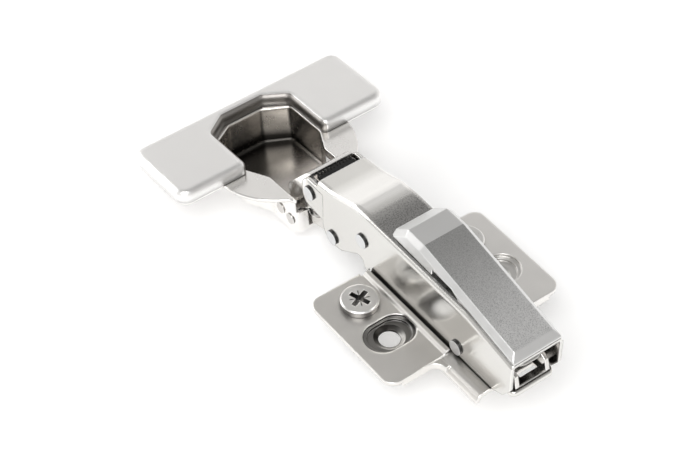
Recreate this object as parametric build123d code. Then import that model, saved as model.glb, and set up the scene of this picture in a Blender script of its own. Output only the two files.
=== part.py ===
from build123d import *
from math import atan2, cos, degrees, hypot, pi, radians, sin
import os

# Concealed cup hinge, clip-on, with a soft-close damper inside the arm.
# All lengths are in millimetres and all angles in degrees.
# X runs along the arm towards its rear end, Y across it, Z up from the cabinet side.
# The origin is on the plate's underside, on the line of its two wood-screw holes.

# General clearances
RUN_CLEAR = 0.05
FIX_CLEAR = 0.02
SEAT_GAP = 0.2

# Arm width, and the gaps that set every width in, under and beside the arm
ARM_HALF_Y = 7.7
ARM_SHEET = 1.0
RIVET_HEAD_H = 0.5
LINK_GAP = 0.35
NEST_GAP = 0.5
CARRIAGE_GAP = 0.4
LEVER_GAP = 0.3
THROAT_GAP = 0.3
COVER_INSET = 0.75
BEAD_GAP = 0.6
BEAD_WIDE = 1.6

# Mounting plate
SCREW_PITCH = 32.0
PLATE_HALF_Y = 25.7
PLATE_FRONT_X = -19.0
PLATE_REAR_X = 12.9
PLATE_TOP_Z = 2.46
PLATE_SHEET = 1.2
PLATE_CORNER_R = 3.0
SIDE_LIP_Y = (11.5, 22.0)
CORE_FRONT_X = -18.2
BEAD_TOP_Z = 3.3
BEAD_Y = (ARM_HALF_Y + BEAD_GAP, ARM_HALF_Y + BEAD_GAP + BEAD_WIDE)
CORE_HALF_Y = BEAD_Y[1] + 0.1
BRIDGE_HALF_Y = ARM_HALF_Y - ARM_SHEET - CARRIAGE_GAP + 0.1
BRIDGE_TOP_Z = 2.75
TAIL_END_X = 27.0
TAIL_HALF_Y = CORE_HALF_Y + 2.0
TAIL_CORNER_R = 3.2
WOOD_HOLE_R = 2.65
RECESS_X = 9.4
RECESS_Y = 13.4
RECESS_WALL = 0.9
HOOK_X = (-12.7, -11.5)
HOOK_TIP_X = -16.2
HOOK_HALF_Y = 2.8
HOOK_TOP_Z = 7.4

# Euro screws
EURO_X = -11.5
EURO_HEAD_R = 4.7
EURO_HEAD_H = 1.85
EURO_RIM = 0.35
EURO_SHANK_R = 3.1
EURO_SHANK_L = 10.8
EURO_TIP_L = 1.6
EURO_ROOT_R = 2.3
CROSS_R = 2.7
CROSS_W = 1.25
CROSS_DEPTH = 1.9

# Arm
ARM_BEND_R = 1.6
ARM_BELLY_R = 1.1
ARM_WEB_HOLE_Z = (12.0, 25.0)
ARM_TOP = [(-39.8, 15.1), (-34.4, 15.8), (-25.6, 18.75), (-20.0, 19.1), (17.0, 18.7), (33.0, 15.4)]
ARM_TOP_R = 9.0
ARM_REAR = [(33.0, 7.2), (30.9, 4.0), (27.6, 2.75)]
ARM_FOOT = [(-18.9, 2.75), (-19.2, 1.5), (-20.4, 1.5), (-21.4, 3.8)]
ARM_BELLY = [(-23.2, 4.1), (-26.1, 2.0), (-30.0, -0.5), (-32.9, -1.05), (-35.3, -0.7)]
ARM_CHIN = [(-36.9, 0.9), (-37.6, 3.5)]
ARM_TIP = [(-42.7, 4.1), (-45.2, 4.8), (-46.1, 7.5), (-45.8, 10.8), (-43.5, 13.2)]
ARM_TIP_X = -39.8
ARM_JOGGLE_X = -37.4
ARM_JOGGLE = 0.2

# Rivets in the arm, as X, Z
PIVOT_A = (-43.0, 8.7)
PIVOT_B = (-33.4, 1.3)
PIVOT_C = (-21.6, 10.1)
PIVOT_D = (14.3, 5.1)
RIVET_R = 1.3
RIVET_HEAD_R = 1.95

# Cup, in its own frame: A towards the arm, Y across, H out of its mouth
CUP_X = -65.5
CUP_Z = 1.6
CUP_TILT = 5.0
CUP_SIDE_Y = 12.4
CUP_WALL = 0.75
CUP_DEPTH = 11.8
CUP_BOTTOM_R = 1.5
FLANGE_R = 19.4
FLANGE_T = 0.8
THROAT_HALF_Y = ARM_HALF_Y + RIVET_HEAD_H + THROAT_GAP
THROAT_END_A = 18.4
THROAT_CORNER_R = 2.0
NECK_A = (0.6, 7.0)
POCKET_FAR_A = -16.4
POCKET_FAR_Y = 4.9
POCKET_DIAG_A = -12.4
END_WALL_TOP_H = -4.4
END_NOTCH_TOP_H = -9.9
PIN_P = (12.1, -6.2)
PIN_Q = (16.1, -7.1)
PIN_R = 1.2
PIN_HEAD_R = 1.5
PIN_HEAD_T = 0.25
DOWEL_PITCH = 45.0
DOWEL_A = -9.5
DOWEL_HOLE_R = 2.1

# Cup cover cap
CAP_HALF_Y = 31.5
CAP_BACK_A = -20.3
CAP_FRONT_A = 2.3
CAP_TOP_H = 3.5
CAP_SHEET = 0.8
CAP_CORNER_R = 3.0
CAP_EDGE_R = 1.2
CAP_OPEN_Y = 11.8

# Links
OUTER_SHEET = 0.95
OUTER_HALF_Y = ARM_HALF_Y - ARM_SHEET - LINK_GAP
OUTER_BACK = 4.7
OUTER_CHEEK_R = 3.5
OUTER_EYE_R = 2.0
OUTER_ROLL_END = 106.0
OUTER_ROLL_START = -39.0
INNER_HALF_Y = OUTER_HALF_Y - OUTER_SHEET - NEST_GAP
END_NOTCH_Y = INNER_HALF_Y + NEST_GAP
INNER_SHEET = 1.0
INNER_EYE_R = 2.3
SLOT_REACH = 1.35
SLOT_ALONG = 0.5
SLOT_RIM = 0.9

# Damper
DAMPER_Z = 12.7
DAMPER_R = 3.4
DAMPER_WALL = 0.8
DAMPER_X = (-15.0, 2.5)
ROD_R = 0.8
PISTON_X = (-10.0, -8.2)
SLIDER_X = (-41.0, -31.5)
SLIDER_HALF_Y = OUTER_HALF_Y - OUTER_SHEET - SEAT_GAP
SLIDER_Z = (11.9, 13.8)
TOOTH_COUNT = 9
TOOTH_W = 0.55

# Spring
COIL_MEAN_R = 2.05
WIRE_R = 0.45
COIL_PITCH = 1.05
COIL_TURNS = 3.0
COIL_START_Y = 1.6
WIRE_SIDES = 6
LEG_UP = 6.5
LEG_DOWN = 0.2

# Carriage under the arm
BASE_HALF_Y = ARM_HALF_Y - ARM_SHEET - CARRIAGE_GAP
BASE_SHEET = 1.0
BASE_X = (-17.2, 25.0)
BASE_WALL_TOP_Z = 8.6
BAR_R = 1.1
BAR_X = -14.5
BAR_Z = 5.5

# Latch lever, springs and the adjusting screws
LEVER_HALF_Y = BASE_HALF_Y - BASE_SHEET - LEVER_GAP
LEVER_SHEET = 1.1
LEVER_LIP_HALF_Y = BASE_HALF_Y
LEVER_REAR_X = 32.9
LATCH_WIRE_R = 0.5
LATCH_LOOP_HALF_Y = 3.2
LATCH_LOOP_X = 31.0
LATCH_LOOP_Z = 11.0
LATCH_BEND_R = 1.4
SIDE_SCREW_X = 6.7
SCREW_R = 2.0
SCREW_HEAD_R = 3.1
SCREW_HEAD_H = 1.6
SCREW_RIM = 0.25
CAM_X = 14.6
CAM_HEAD_R = 2.9
CAM_HEAD_H = 0.9
WEB_SEAT_Z = 18.95

# Arm cover cap
COVER_TOP = [(-11.3, 21.7), (-6.9, 25.1), (-0.9, 25.0), (31.3, 18.0)]
COVER_REAR_X = 33.0
COVER_REAR_Z = 16.1
COVER_HALF_Y = ARM_HALF_Y - COVER_INSET
COVER_BEVEL = 1.3
COVER_SHEET = 0.8


def side_slab(points, y_from, y_to):
    """Closed outline of X, Z points made solid between two Y values."""
    face = Plane.XZ * make_face(Polyline(*points, close=True))
    return Pos(0, y_to, 0) * extrude(face, amount=y_to - y_from)


def side_body(points, half_y):
    """Closed outline of X, Z points made solid symmetrically about Y = 0."""
    return side_slab(points, -half_y, half_y)


def disc(center, radius, y_from, y_to):
    """Round bar along Y between two Y values."""
    middle = (y_from + y_to) / 2
    place = Pos(center[0], middle, center[1]) * Rot(90, 0, 0)
    return place * Cylinder(radius, abs(y_to - y_from))


def upright(x, y, z_from, z_to, radius):
    """Round bar along Z between two Z values."""
    return Pos(x, y, (z_from + z_to) / 2) * Cylinder(radius, abs(z_to - z_from))


def block(x_range, y_range, z_range):
    """Box given by its limits."""
    size = [r[1] - r[0] for r in (x_range, y_range, z_range)]
    center = [(r[1] + r[0]) / 2 for r in (x_range, y_range, z_range)]
    return Pos(*center) * Box(*size)


def flat_slab(points, z_from, z_to):
    """Closed outline of X, Y points made solid between two Z values."""
    face = make_face(Polyline(*points, close=True))
    return Pos(0, 0, z_from) * extrude(face, amount=z_to - z_from)


def both_sides(shape):
    """A shape and its mirror image across the Y = 0 plane."""
    return [shape, mirror(shape, about=Plane.XZ)]


def save(node, shape):
    """Write one node's solid or solids."""
    export_step(shape, f"parts/{node}.step")


def in_cup(shape):
    """Place a shape drawn in the cup's own frame."""
    return Location((CUP_X, 0, CUP_Z), (0, -CUP_TILT, 0)) * shape


def cup_point(local):
    """X, Z of a point given in the cup's own frame."""
    turn = radians(CUP_TILT)
    x = CUP_X + local[0] * cos(turn) - local[1] * sin(turn)
    z = CUP_Z + local[0] * sin(turn) + local[1] * cos(turn)
    return (x, z)


def along(start, end, distance, offset=0.0):
    """Point a distance from start towards end, moved sideways to the left by offset."""
    length = hypot(end[0] - start[0], end[1] - start[1])
    ux = (end[0] - start[0]) / length
    uz = (end[1] - start[1]) / length
    return (start[0] + ux * distance - uz * offset, start[1] + uz * distance + ux * offset)


# Mounting plate: the wings

def plate_wings():
    half = PLATE_HALF_Y
    outline = Pos((PLATE_FRONT_X + PLATE_REAR_X) / 2, 0) * RectangleRounded(
        PLATE_REAR_X - PLATE_FRONT_X, 2 * half, PLATE_CORNER_R)
    wings = Pos(0, 0, PLATE_TOP_Z - PLATE_SHEET) * extrude(outline, amount=PLATE_SHEET)
    middle = CORE_HALF_Y + 0.4
    wings = wings - block((PLATE_FRONT_X - 1, PLATE_REAR_X + 1), (-middle, middle), (0, PLATE_TOP_Z + 1))
    lip_mid = sum(SIDE_LIP_Y) / 2
    lip_long = SIDE_LIP_Y[1] - SIDE_LIP_Y[0]
    lip = Pos(PLATE_REAR_X - PLATE_SHEET / 2, lip_mid, PLATE_TOP_Z / 2) * Box(
        PLATE_SHEET, lip_long, PLATE_TOP_Z)
    front_lip = Pos(PLATE_FRONT_X + PLATE_SHEET / 2, lip_mid, PLATE_TOP_Z / 2) * Box(
        PLATE_SHEET, lip_long, PLATE_TOP_Z)
    parts = both_sides(lip) + both_sides(front_lip)
    for part in parts:
        wings = wings + part
    return wings


def stadium(x_size, y_size, z_from, z_to):
    """Stadium-shaped block with its long way along Y."""
    outline = RectangleRounded(x_size, y_size, x_size / 2 - 0.01)
    return Pos(0, 0, z_from) * extrude(outline, amount=z_to - z_from)


def sheet_section(top, under, x_from, x_to):
    """Symmetric sheet section, given as half lines of Y, Z points, run along X."""
    line = [(-y, z) for y, z in top] + [(y, z) for y, z in reversed(top)]
    back = [(y, z) for y, z in under] + [(-y, z) for y, z in reversed(under)]
    face = Plane.YZ * make_face(Polyline(*(line + back), close=True))
    return Pos(x_from, 0, 0) * extrude(face, amount=x_to - x_from)


def plate_core():
    """Raised middle of the plate: a bead each side, a bridge, and a bent tail."""
    flat = PLATE_TOP_Z - 0.2
    low = PLATE_TOP_Z - PLATE_SHEET
    bridge = BRIDGE_HALF_Y
    channel = [(CORE_HALF_Y + 0.6, PLATE_TOP_Z), (CORE_HALF_Y, PLATE_TOP_Z), (BEAD_Y[1] - 0.6, BEAD_TOP_Z),
               (BEAD_Y[0], BEAD_TOP_Z), (BEAD_Y[0] - 0.5, flat), (bridge + 0.6, flat), (bridge, BRIDGE_TOP_Z)]
    under = [(CORE_HALF_Y + 0.6, low), (BEAD_Y[0], low), (BEAD_Y[0] - 0.5, flat - PLATE_SHEET),
             (bridge, flat - PLATE_SHEET), (bridge - 0.6, BRIDGE_TOP_Z - PLATE_SHEET)]
    core = sheet_section(channel, under, CORE_FRONT_X, PLATE_REAR_X)
    edge = TAIL_HALF_Y
    tail = [(edge, 0.0), (edge - 0.1, 0.9), (edge - 0.6, 1.7), (edge - 1.3, 2.2), (edge - 2.2, 2.4),
            (bridge + 1.2, 2.4), (bridge + 0.6, flat), (bridge, BRIDGE_TOP_Z)]
    inside = [(edge - 1.1, 0.0), (edge - 1.3, 0.7), (edge - 1.9, 1.1), (edge - 2.7, 1.2), (bridge + 1.0, 1.2),
              (bridge, flat - PLATE_SHEET), (bridge - 0.6, BRIDGE_TOP_Z - PLATE_SHEET)]
    return core + sheet_section(tail, inside, PLATE_REAR_X - PLATE_SHEET, TAIL_END_X)


def mounting_plate():
    plate = plate_wings() + plate_core()
    pitch = SCREW_PITCH / 2
    for side in (-1, 1):
        boss = Pos(0, side * pitch, 0) * stadium(RECESS_X + 2 * RECESS_WALL - 0.6,
                                                 RECESS_Y + 2 * RECESS_WALL - 0.6, 0, PLATE_TOP_Z - 0.4)
        plate = plate + boss
    for side in (-1, 1):
        top = Pos(0, side * pitch, 0) * stadium(RECESS_X, RECESS_Y, PLATE_TOP_Z - 0.7, PLATE_TOP_Z + 0.1)
        step = stadium(RECESS_X - 1.2, RECESS_Y - 2.2, PLATE_TOP_Z - 1.3, PLATE_TOP_Z)
        step = Pos(0, side * pitch, 0) * step
        cone = Pos(0, side * pitch, (PLATE_TOP_Z - 1.3 + 0.6) / 2) * Cone(
            WOOD_HOLE_R, RECESS_X / 2 - 0.9, PLATE_TOP_Z - 1.3 - 0.6)
        hole = upright(0, side * pitch, -0.1, PLATE_TOP_Z, WOOD_HOLE_R)
        plate = plate - top - step - cone - hole
        plate = plate - upright(EURO_X, side * pitch, -0.1, PLATE_TOP_Z + 0.1, EURO_SHANK_R + FIX_CLEAR * 5)
    corner_x = (PLATE_REAR_X - PLATE_SHEET, PLATE_REAR_X + TAIL_CORNER_R)
    corner_y = (TAIL_HALF_Y - PLATE_SHEET, TAIL_HALF_Y + TAIL_CORNER_R)
    corner = block(corner_x, corner_y, (PLATE_TOP_Z - PLATE_SHEET - 0.7, PLATE_TOP_Z - 0.1))
    bend = upright(PLATE_REAR_X + TAIL_CORNER_R, TAIL_HALF_Y + TAIL_CORNER_R, 0, 4, TAIL_CORNER_R)
    for part in both_sides(corner - bend):
        plate = plate + part
    hook = block(HOOK_X, (-HOOK_HALF_Y, HOOK_HALF_Y), (BRIDGE_TOP_Z - PLATE_SHEET / 2, HOOK_TOP_Z))
    lip = block((HOOK_TIP_X, HOOK_X[1]), (-HOOK_HALF_Y, HOOK_HALF_Y), (HOOK_TOP_Z - 0.7, HOOK_TOP_Z))
    plate = plate + hook + lip
    return plate


def euro_screw(side):
    y = side * SCREW_PITCH / 2
    seat = PLATE_TOP_Z + 0.03
    head = upright(EURO_X, y, seat, seat + EURO_HEAD_H, EURO_HEAD_R)
    head = chamfer(head.edges().group_by(Axis.Z)[-1], EURO_RIM)
    shank_end = seat - PLATE_TOP_Z - EURO_SHANK_L
    shank = upright(EURO_X, y, shank_end, seat, EURO_SHANK_R)
    tip = Pos(EURO_X, y, shank_end - EURO_TIP_L / 2) * Cone(EURO_ROOT_R, EURO_SHANK_R, EURO_TIP_L)
    screw = head + shank + tip
    deep = seat + EURO_HEAD_H - CROSS_DEPTH
    cross_z = (deep, seat + EURO_HEAD_H + 0.1)
    for angle in (0, 90):
        slot = Pos(EURO_X, y, sum(cross_z) / 2) * Rot(0, 0, angle + 20) * Box(
            2 * CROSS_R, CROSS_W, cross_z[1] - cross_z[0])
        screw = screw - slot
    return screw


# Arm: pressed U-section with a crown near the cup

def hinge_arm():
    lower = ARM_REAR + ARM_FOOT + ARM_BELLY + ARM_CHIN + [(ARM_TIP_X, 3.9)]
    outer = side_body(ARM_TOP + lower, ARM_HALF_Y)
    knees = [e for e in outer.edges()
             if abs(e.center().Y) < 0.01 and e.center().Z > ARM_TOP[1][1] - 0.3
             and ARM_TIP_X + 1 < e.center().X < ARM_TOP[-1][0] - 1]
    outer = fillet(knees, ARM_TOP_R)
    bends = [e for e in outer.edges()
             if abs(abs(e.center().Y) - ARM_HALF_Y) < 0.01 and e.center().Z > ARM_TOP[0][1] - 0.6
             and ARM_TIP_X + 0.01 < e.center().X < ARM_TOP[-1][0] - 0.1]
    outer = fillet(bends, ARM_BEND_R)
    hollow = [(ARM_TOP[0][0] - 1, ARM_TOP[0][1] - ARM_SHEET)]
    hollow = hollow + [(x, z - ARM_SHEET) for x, z in ARM_TOP[1:-1]]
    hollow = hollow + [(ARM_TOP[-1][0] + 1, ARM_TOP[-1][1] - ARM_SHEET)]
    hollow = hollow + [(ARM_TOP[-1][0] + 1, -6), (ARM_TOP[0][0] - 1, -6)]
    core = side_body(hollow, ARM_HALF_Y - ARM_SHEET)
    knees = [e for e in core.edges()
             if abs(e.center().Y) < 0.01 and e.center().Z > ARM_TOP[0][1] - ARM_SHEET - 0.1
             and ARM_TIP_X + 1 < e.center().X < ARM_TOP[-1][0] - 1]
    core = fillet(knees, ARM_TOP_R - ARM_SHEET)
    bends = [e for e in core.edges()
             if abs(abs(e.center().Y) - ARM_HALF_Y + ARM_SHEET) < 0.01
             and e.center().Z > ARM_TOP[0][1] - ARM_SHEET - 0.6
             and ARM_TIP_X + 0.01 < e.center().X < ARM_TOP[-1][0] - 0.1]
    core = fillet(bends, ARM_BEND_R - ARM_SHEET)
    arm = outer - core
    joint_x = ARM_TIP_X + 0.6
    tip = make_face([Polyline((ARM_TIP[-1][0], ARM_TIP[-1][1]), (joint_x, ARM_TOP[0][1] - ARM_BEND_R),
                              (joint_x, 3.7), ARM_TIP[0]),
                     Spline(*ARM_TIP)])
    lobe = Pos(0, -ARM_HALF_Y + ARM_SHEET, 0) * extrude(Plane.XZ * tip, amount=ARM_SHEET)
    for part in both_sides(lobe):
        arm = arm + part
    belly = [e for e in arm.edges().filter_by(Axis.Y)
             if e.center().Z < ARM_REAR[0][1] + 0.8 and abs(e.center().Y) > ARM_HALF_Y - ARM_SHEET - 0.1
             and ARM_TIP_X + 1.8 < e.center().X < ARM_REAR[0][0] + 1
             and (e.center().X < ARM_FOOT[-1][0] + 0.4 or e.center().X > ARM_REAR[-1][0] - 1)]
    arm = fillet(belly, ARM_BELLY_R)
    step_top = ARM_TOP[0][1] - ARM_BEND_R - 1.0
    step = block((ARM_TIP[0][0] - 6, ARM_JOGGLE_X), (ARM_HALF_Y - ARM_JOGGLE, ARM_HALF_Y + 1), (-6, step_top))
    for part in both_sides(step):
        arm = arm - part
    for pivot in (PIVOT_A, PIVOT_B, PIVOT_C, PIVOT_D):
        arm = arm - disc(pivot, RIVET_R + FIX_CLEAR, -ARM_HALF_Y - 1, ARM_HALF_Y + 1)
    side_hole = upright(SIDE_SCREW_X, 0, *ARM_WEB_HOLE_Z, SCREW_R + RUN_CLEAR)
    cam_hole = upright(CAM_X, 0, *ARM_WEB_HOLE_Z, SCREW_R + RUN_CLEAR)
    return arm - side_hole - cam_hole


def arm_rivet(pivot, skin):
    """Rivet through both sides of the arm with a flat head outside each."""
    shank = disc(pivot, RIVET_R, -skin - FIX_CLEAR, skin + FIX_CLEAR)
    for side in (-1, 1):
        face = side * (skin + FIX_CLEAR)
        shank = shank + disc(pivot, RIVET_HEAD_R, face, face + side * RIVET_HEAD_H)
    return shank


# Cup: flange, wings and pocket in one drawn shell

def cup_outline(grow):
    """Half plan of the pocket, grown outwards by grow, mirrored about Y = 0."""
    side = CUP_SIDE_Y - CUP_WALL + grow
    throat = THROAT_HALF_Y + grow
    far = POCKET_FAR_A - grow
    half = [(far, POCKET_FAR_Y), (POCKET_DIAG_A - 0.4 * grow, side), (NECK_A[0] - 0.2 * grow, side),
            (NECK_A[1], throat), (THROAT_END_A - CUP_WALL + grow, throat)]
    return half + [(a, -y) for a, y in reversed(half)]


def cup_block(grow, h_from, h_to):
    body = flat_slab(cup_outline(grow), h_from, h_to)
    corners = body.edges().filter_by(Axis.Z)
    near = [e for e in corners if e.center().X > 15]
    far = [e for e in corners if e.center().X < 15]
    body = fillet(near, THROAT_CORNER_R - CUP_WALL + grow)
    far = [e for e in body.edges().filter_by(Axis.Z) if e.center().X < 15 and len(far)]
    far = [e for e in far if e.center().X < 9]
    return fillet(far, 1.6 + grow)


def cup_flange():
    wings = Pos((CAP_BACK_A + CAP_FRONT_A) / 2, 0) * RectangleRounded(
        CAP_FRONT_A - CAP_BACK_A - 0.6, 2 * CAP_HALF_Y - 0.6, CAP_CORNER_R)
    ring = Circle(FLANGE_R) & Pos(10, 0) * Rectangle(20, 4 * FLANGE_R)
    tip = Pos(THROAT_END_A - 3, 0) * RectangleRounded(7.0, 2 * THROAT_HALF_Y + 2.2, 2.4)
    plan = wings + ring + tip
    return Pos(0, 0, -FLANGE_T) * extrude(plan, amount=FLANGE_T)


def hinge_cup():
    body = cup_block(CUP_WALL, -CUP_DEPTH, -FLANGE_T / 2)
    bottom = body.edges().group_by(Axis.Z)[0]
    body = fillet(bottom, CUP_BOTTOM_R)
    cup = body + cup_flange()
    pocket = cup_block(0.0, -CUP_DEPTH + FLANGE_T, FLANGE_T)
    floor = pocket.edges().group_by(Axis.Z)[0]
    pocket = fillet(floor, CUP_BOTTOM_R - CUP_WALL)
    cup = cup - pocket
    end_a = (THROAT_END_A - CUP_WALL - 0.5, THROAT_END_A + 3)
    cup = cup - block(end_a, (-THROAT_HALF_Y, THROAT_HALF_Y), (END_WALL_TOP_H, FLANGE_T))
    cup = cup - block(end_a, (-END_NOTCH_Y, END_NOTCH_Y), (END_NOTCH_TOP_H, FLANGE_T))
    reach = THROAT_HALF_Y + 2 * CUP_WALL
    for pin in (PIN_P, PIN_Q):
        cup = cup - disc(pin, PIN_R + FIX_CLEAR, -reach, reach)
    window = block((6.4, 9.9), (THROAT_HALF_Y - 0.3, reach + 2), (-5.6, -2.4))
    small = block((12.2, 13.4), (THROAT_HALF_Y - 0.3, reach + 2), (-3.6, -1.6))
    for part in both_sides(window) + both_sides(small):
        cup = cup - part
    for side in (-1, 1):
        cup = cup - upright(DOWEL_A, side * DOWEL_PITCH / 2, -2, 1, DOWEL_HOLE_R)
    return in_cup(cup)


def cup_pin(pin):
    reach = THROAT_HALF_Y + CUP_WALL
    bar = disc(pin, PIN_R, -reach - FIX_CLEAR, reach + FIX_CLEAR)
    for side in (-1, 1):
        face = side * (reach + FIX_CLEAR)
        bar = bar + disc(pin, PIN_HEAD_R, face, face + side * PIN_HEAD_T)
    return in_cup(bar)


def cap_plan(inset):
    """Plan of the cup cover cap, moved inwards by inset."""
    half = CAP_HALF_Y - inset
    back = CAP_BACK_A + inset
    front = CAP_FRONT_A - inset
    mouth = CAP_OPEN_Y + inset
    far = POCKET_FAR_A - 0.5 - inset
    points = [(back, -half), (front, -half), (front, -mouth), (-13.0 - 0.4 * inset, -mouth),
              (far, -6.0 - 0.4 * inset), (far, 6.0 + 0.4 * inset), (-13.0 - 0.4 * inset, mouth), (front, mouth),
              (front, half), (back, half)]
    return points


def cup_cover_cap():
    outer = flat_slab(cap_plan(0.0), SEAT_GAP / 2, CAP_TOP_H)
    posts = outer.edges().filter_by(Axis.Z)
    outer = fillet([e for e in posts if abs(e.center().Y) > CAP_HALF_Y - 1], CAP_CORNER_R)
    posts = outer.edges().filter_by(Axis.Z)
    outer = fillet([e for e in posts if abs(e.center().Y) < CAP_OPEN_Y + 1 and e.center().X > -14], 1.5)
    top = [e for e in outer.edges() if e.center().Z > CAP_TOP_H - 0.01]
    outer = fillet(top, CAP_EDGE_R)
    inner = flat_slab(cap_plan(CAP_SHEET), -1, CAP_TOP_H - CAP_SHEET)
    posts = inner.edges().filter_by(Axis.Z)
    inner = fillet([e for e in posts if abs(e.center().Y) > CAP_HALF_Y - 2], CAP_CORNER_R - CAP_SHEET)
    top = [e for e in inner.edges() if e.center().Z > CAP_TOP_H - CAP_SHEET - 0.01]
    inner = chamfer(top, CAP_EDGE_R - CAP_SHEET)
    return in_cup(outer - inner)


# The two links of the four-bar

def outer_link():
    p_world = cup_point(PIN_P)
    length = hypot(PIVOT_A[0] - p_world[0], PIVOT_A[1] - p_world[1])
    roll = Pos(*PIVOT_A) * Circle(OUTER_BACK)
    eye = Pos(*p_world) * Circle(OUTER_EYE_R)
    mid = Pos(*along(p_world, PIVOT_A, 5.0)) * Circle(OUTER_EYE_R + 0.1)
    wide = Pos(*along(p_world, PIVOT_A, 6.2, 1.0)) * Circle(OUTER_BACK - 1.0)
    cheek = make_hull(eye.edges() + mid.edges()) + make_hull(mid.edges() + wide.edges() + roll.edges())
    solid = extrude(Plane.XZ * cheek, amount=OUTER_HALF_Y, both=True)
    ring = Pos(*PIVOT_A) * Circle(OUTER_BACK - OUTER_SHEET)
    inner_wide = Pos(*along(p_world, PIVOT_A, 4.0, 0.0)) * Circle(OUTER_BACK - OUTER_SHEET)
    hollow = make_hull(ring.edges() + inner_wide.edges())
    gap = extrude(Plane.XZ * hollow, amount=OUTER_HALF_Y - OUTER_SHEET, both=True)
    solid = solid - gap
    end = radians(OUTER_ROLL_END)
    open_side = [PIVOT_A, (PIVOT_A[0] + 12 * cos(end), PIVOT_A[1] + 12 * sin(end)),
                 (PIVOT_A[0] + 20, PIVOT_A[1] + 8), along(PIVOT_A, p_world, length + 8, 16),
                 along(PIVOT_A, p_world, length + 8, 0)]
    solid = solid - side_body(open_side, OUTER_HALF_Y - OUTER_SHEET)
    far_cut = [along(PIVOT_A, p_world, 11.6, -8), along(PIVOT_A, p_world, 11.6, 8),
               along(PIVOT_A, p_world, length + 9, 8), along(PIVOT_A, p_world, length + 9, -8)]
    solid = solid - side_body(far_cut, OUTER_HALF_Y - OUTER_SHEET)
    reach = OUTER_HALF_Y + 1
    first = radians(OUTER_ROLL_START)
    behind = [PIVOT_A, (PIVOT_A[0] + 12 * cos(end), PIVOT_A[1] + 12 * sin(end)),
              (PIVOT_A[0] + 14, PIVOT_A[1] + 9),
              (PIVOT_A[0] + 12 * cos(first), PIVOT_A[1] + 12 * sin(first))]
    solid = solid - (side_body(behind, reach) - disc(PIVOT_A, OUTER_CHEEK_R, -reach, reach))
    solid = solid - disc(PIVOT_A, RIVET_R + RUN_CLEAR, -reach, reach)
    return solid - disc(p_world, PIN_R + RUN_CLEAR, -reach, reach)


def inner_link():
    q_world = cup_point(PIN_Q)
    length = hypot(PIVOT_B[0] - q_world[0], PIVOT_B[1] - q_world[1])
    eye = Pos(*q_world) * Circle(INNER_EYE_R)
    low = -INNER_EYE_R
    neck = [along(q_world, PIVOT_B, 0.0, low), along(q_world, PIVOT_B, 1.6, 0.0),
            along(q_world, PIVOT_B, 5.6, 0.0), along(q_world, PIVOT_B, 9.0, 1.6),
            along(q_world, PIVOT_B, length, 2.6), along(q_world, PIVOT_B, length, -2.6),
            along(q_world, PIVOT_B, 9.0, -2.6)]
    turn = degrees(atan2(PIVOT_B[1] - q_world[1], PIVOT_B[0] - q_world[0]))
    hole_w = 2 * (RIVET_R + RUN_CLEAR + SLOT_ALONG)
    hole_h = 2 * (RIVET_R + RUN_CLEAR + SLOT_REACH)
    rim = Pos(*PIVOT_B) * Rot(0, 0, turn) * RectangleRounded(
        hole_w + 2 * SLOT_RIM, hole_h + 2 * SLOT_RIM, hole_w / 2 + SLOT_RIM - 0.05)
    slot = Pos(*PIVOT_B) * Rot(0, 0, turn) * RectangleRounded(hole_w, hole_h, hole_w / 2 - 0.02)
    cheek = eye + make_face(Polyline(*neck, close=True)) + rim
    solid = extrude(Plane.XZ * cheek, amount=INNER_HALF_Y, both=True)
    gap = [along(q_world, PIVOT_B, -9, low + INNER_SHEET),
           along(q_world, PIVOT_B, length + 9, low + INNER_SHEET),
           along(q_world, PIVOT_B, length + 9, 9), along(q_world, PIVOT_B, -9, 9)]
    solid = solid - side_body(gap, INNER_HALF_Y - INNER_SHEET)
    for span in ((-9, 2.6), (length - 3.2, length + 9)):
        trim = [along(q_world, PIVOT_B, span[0], -9), along(q_world, PIVOT_B, span[1], -9),
                along(q_world, PIVOT_B, span[1], 9), along(q_world, PIVOT_B, span[0], 9)]
        solid = solid - side_body(trim, INNER_HALF_Y - INNER_SHEET)
    opening = extrude(Plane.XZ * slot, amount=INNER_HALF_Y + 1, both=True)
    reach = INNER_HALF_Y + 1
    return solid - opening - disc(q_world, PIN_R + RUN_CLEAR, -reach, reach)


# Soft-close damper: cylinder, rod with its piston, toothed slider

def bar_x(x_from, x_to, z, radius):
    """Round bar along X at Y = 0."""
    return Pos((x_from + x_to) / 2, 0, z) * Rot(0, 90, 0) * Cylinder(radius, x_to - x_from)


def damper_cylinder():
    shell = bar_x(DAMPER_X[0], DAMPER_X[1], DAMPER_Z, DAMPER_R)
    bore = bar_x(DAMPER_X[0] + DAMPER_WALL, DAMPER_X[1] - DAMPER_WALL, DAMPER_Z, DAMPER_R - DAMPER_WALL)
    mouth = bar_x(DAMPER_X[0] - 1, DAMPER_X[0] + 2, DAMPER_Z, ROD_R + RUN_CLEAR)
    return shell - bore - mouth


def damper_rod():
    rod = bar_x(SLIDER_X[1] + FIX_CLEAR, PISTON_X[0] + 0.5, DAMPER_Z, ROD_R)
    piston = bar_x(PISTON_X[0], PISTON_X[1], DAMPER_Z, DAMPER_R - DAMPER_WALL - RUN_CLEAR)
    return rod + piston


def damper_slider():
    body = block(SLIDER_X, (-SLIDER_HALF_Y, SLIDER_HALF_Y), SLIDER_Z)
    pitch = 2 * SLIDER_HALF_Y / TOOTH_COUNT
    for i in range(TOOTH_COUNT - 1):
        y = -SLIDER_HALF_Y + pitch * (i + 1)
        notch_y = (y - TOOTH_W / 2, y + TOOTH_W / 2)
        body = body - block((SLIDER_X[0] - 1, SLIDER_X[0] + 0.9), notch_y, (0, 20))
    return body


# Closing springs: one coil on each side of the damper rod

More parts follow.
